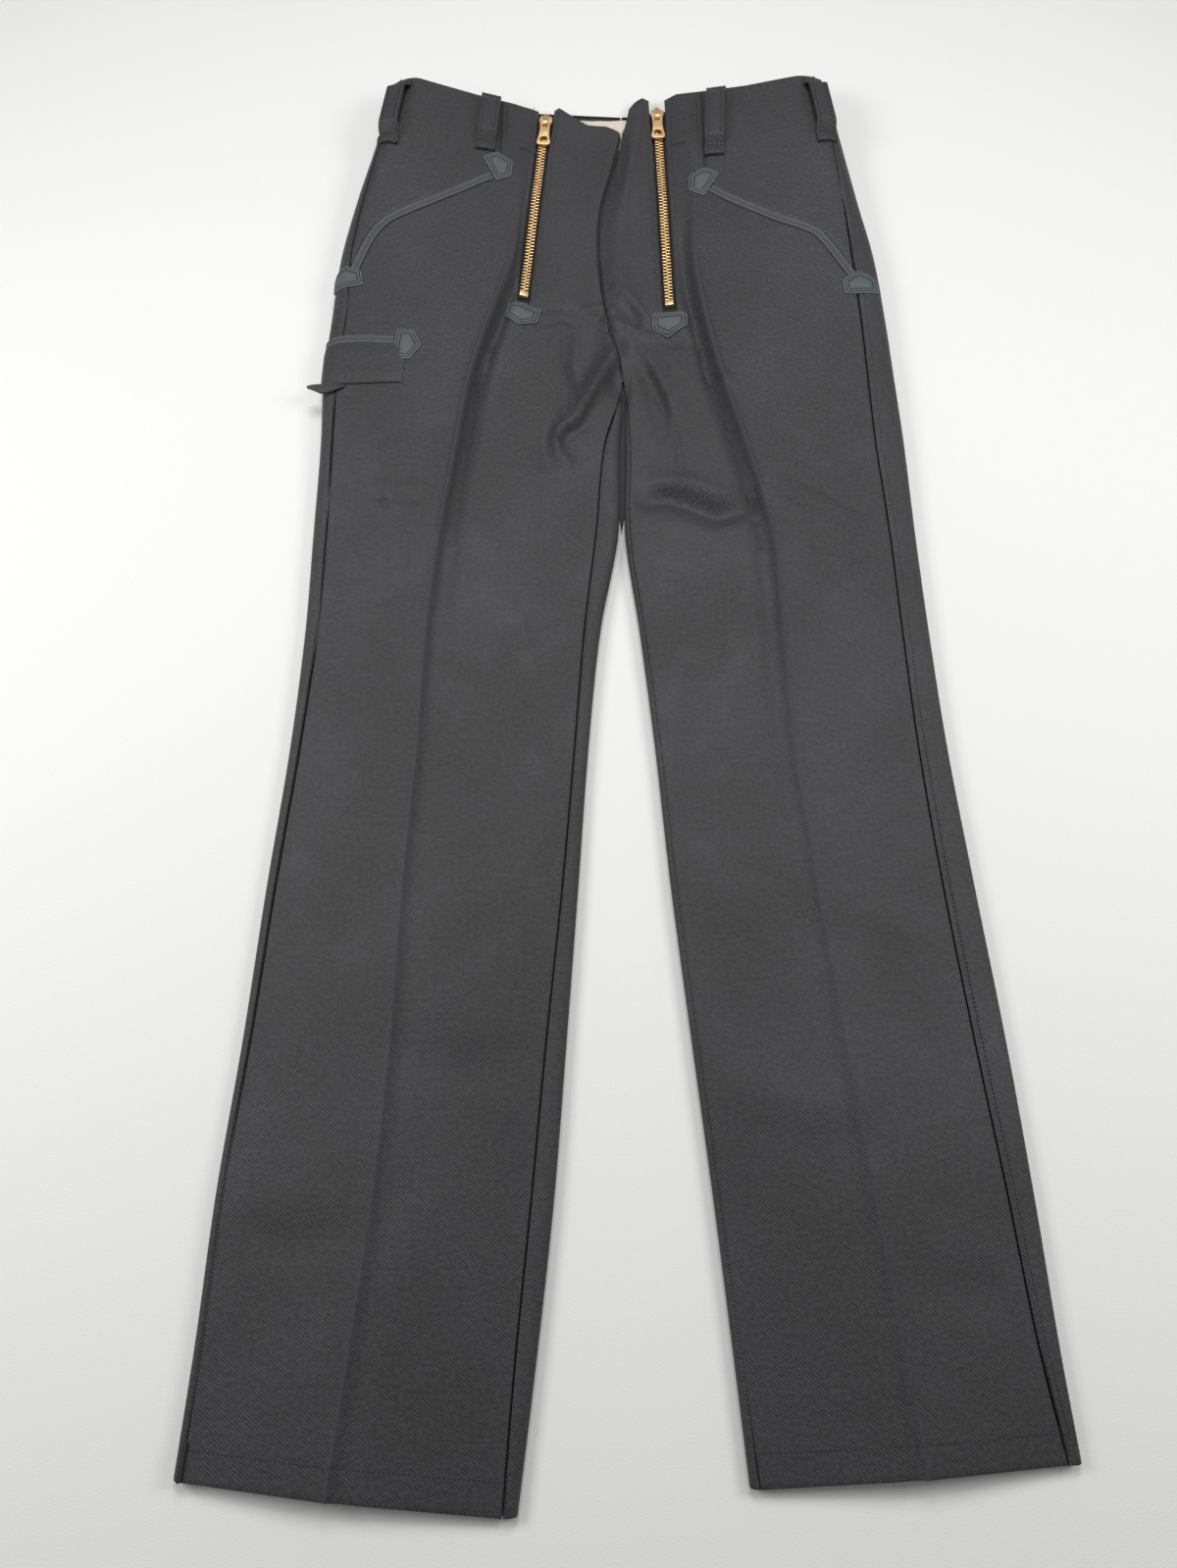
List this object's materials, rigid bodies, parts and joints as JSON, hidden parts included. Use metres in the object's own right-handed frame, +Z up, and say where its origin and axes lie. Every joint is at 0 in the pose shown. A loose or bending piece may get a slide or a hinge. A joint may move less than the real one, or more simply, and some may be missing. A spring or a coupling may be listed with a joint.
{
  "type": "carpenter's work trousers",
  "caption": "Black twill carpenter's trousers laid flat, with a double-zip front, leather-trimmed pockets, belt loops and a folding-rule pocket.",
  "frame": {"origin": "on the surface the garment lies on, under the middle of its bounding box", "axes": "+Z up out of the surface, towards the garment's front; +Y from the hems to the waist; +X towards the wearer's left leg"},
  "size_m": [0.546, 1.1058, 0.0428],
  "materials": {
    "cloth": "heavy black diagonal twill, matt with a faint sheen",
    "leather": "grey-green nappa, satin, double stitched rims",
    "lining": "cream cotton, plain weave",
    "zip_tape": "black woven tape",
    "zip_metal": "warm polished brass, lightly worn"
  },
  "bodies": {
    "trousers": {"front_right": "cloth", "front_left": "cloth", "back_right": "cloth", "back_left": "cloth", "hip_right": "cloth", "hip_left": "cloth", "belt_loop_front_right": "cloth", "belt_loop_front_left": "cloth", "belt_loop_side_right": "cloth", "belt_loop_side_left": "cloth", "rule_pocket": "cloth", "rule_pocket_tail": "cloth", "waist_lining": "lining", "piping_pocket_right": "leather", "piping_pocket_left": "leather", "piping_rule_pocket": "leather", "patch_pocket_top_right": "leather", "patch_pocket_top_left": "leather", "patch_pocket_foot_right": "leather", "patch_pocket_foot_left": "leather", "patch_zip_right": "leather", "patch_zip_left": "leather", "patch_rule_pocket": "leather", "zip_tape_right": "zip_tape", "zip_tape_left": "zip_tape", "zip_chain_right": "zip_metal", "zip_chain_left": "zip_metal", "zip_stop_right": "zip_metal", "zip_stop_left": "zip_metal", "zip_slider_right": "zip_metal", "zip_slider_left": "zip_metal"},
    "pull_right": {"zip_pull_right": "zip_metal"},
    "pull_left": {"zip_pull_left": "zip_metal"}
  },
  "joints": [
    {"name": "zip_pull_right_hinge", "type": "hinge", "parent": "trousers", "child": "pull_right", "pos_m": [-0.06198, 0.5191, 0.01392], "axis": [-0.9971, 0.0764, 0], "range_deg": [0, 150]},
    {"name": "zip_pull_left_hinge", "type": "hinge", "parent": "trousers", "child": "pull_left", "pos_m": [0.03679, 0.52913, 0.01159], "axis": [-0.9996, -0.028, 0], "range_deg": [0, 150]}
  ]
}
